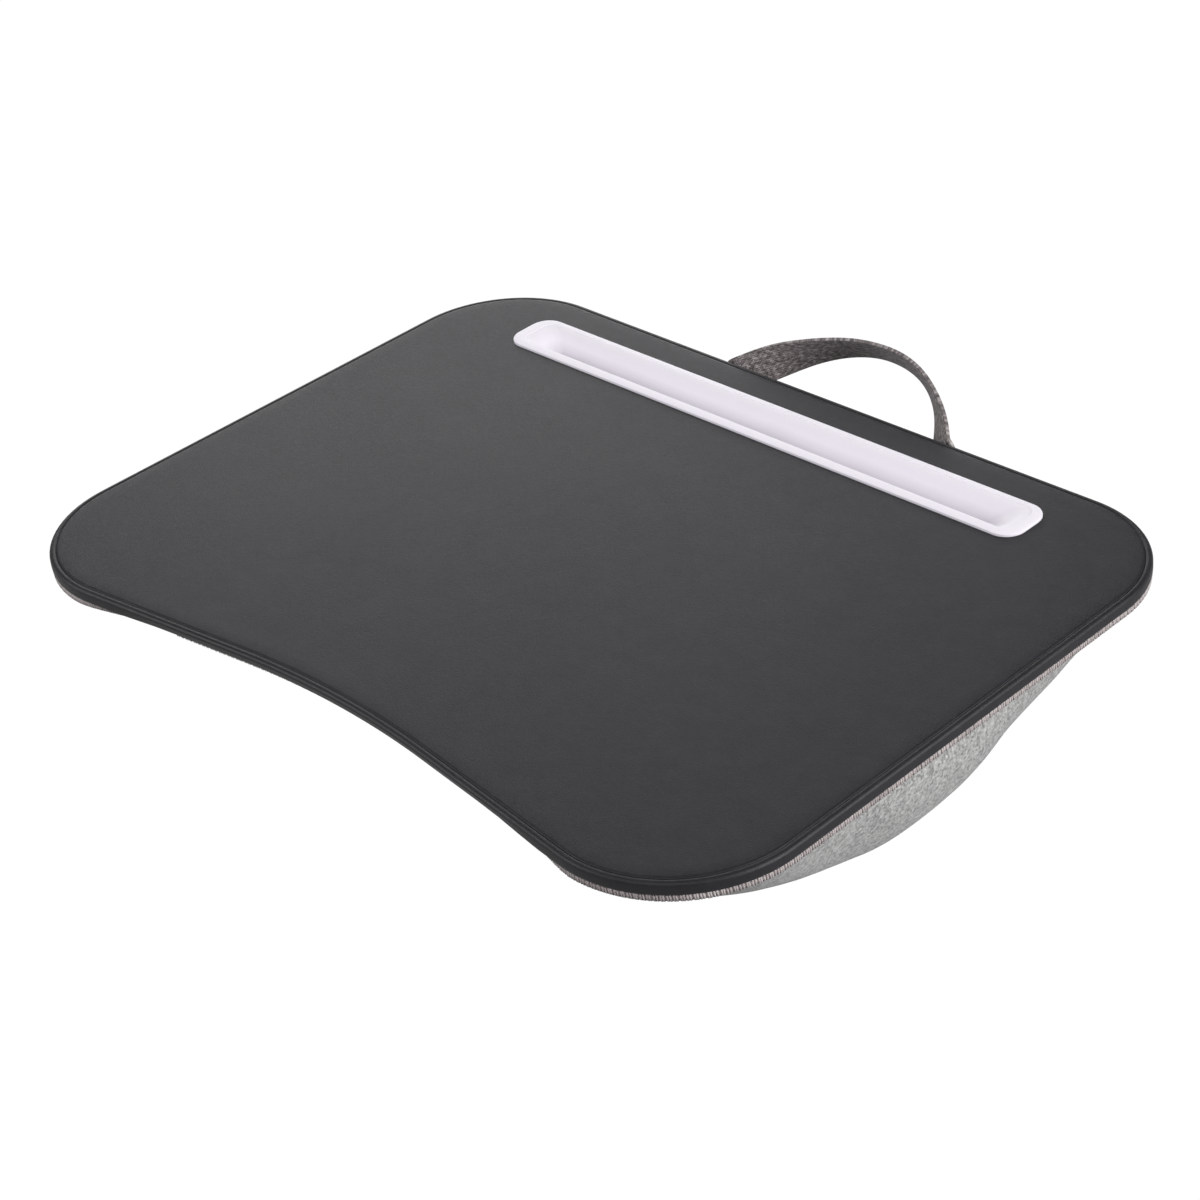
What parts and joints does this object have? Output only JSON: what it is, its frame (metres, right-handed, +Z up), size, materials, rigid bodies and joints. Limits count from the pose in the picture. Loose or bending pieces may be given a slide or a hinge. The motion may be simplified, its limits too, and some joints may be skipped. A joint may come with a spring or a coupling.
{
  "type": "lap tray with cushion",
  "caption": "Lap tray with a leatherette deck, a long recessed slot at the back, a swinging webbing loop and a two-bolster cushion underneath.",
  "frame": {"origin": "under the middle of the whole tray, on the surface that its cushion rests on", "axes": "+X to the user's right along the tray's width, +Y from the user's edge to the back edge with the slot and the loop, +Z up through the deck"},
  "size_m": [0.43, 0.3657, 0.0677],
  "materials": {
    "deck_leatherette": "satin, fine grain",
    "edge_leatherette": "satin",
    "board_fibre": "raw",
    "pad_foam": "matte",
    "insert_plastic": "satin",
    "hem_thread": "matte, overlocked",
    "cushion_fabric": "matte heather knit",
    "fibre_filling": "matte",
    "strap_webbing": "matte woven",
    "staple_steel": "zinc"
  },
  "bodies": {
    "tray": {"deck_board": "board_fibre", "top_pad": "pad_foam", "deck_cover": "deck_leatherette", "edge_binding": "edge_leatherette", "slot_insert": "insert_plastic", "base_panel": "board_fibre", "cushion_hem": "hem_thread", "cushion_cover": "cushion_fabric", "filling_left": "fibre_filling", "filling_right": "fibre_filling", "strap_ends": "strap_webbing", "strap_staples": "staple_steel"},
    "handle": {"handle_strap": "strap_webbing"}
  },
  "joints": [
    {"name": "strap_swing", "type": "hinge", "parent": "tray", "child": "handle", "pos_m": [0.0086, 0.14013, 0.0459], "axis": [1, 0, 0], "range_deg": [-80, 40]}
  ]
}
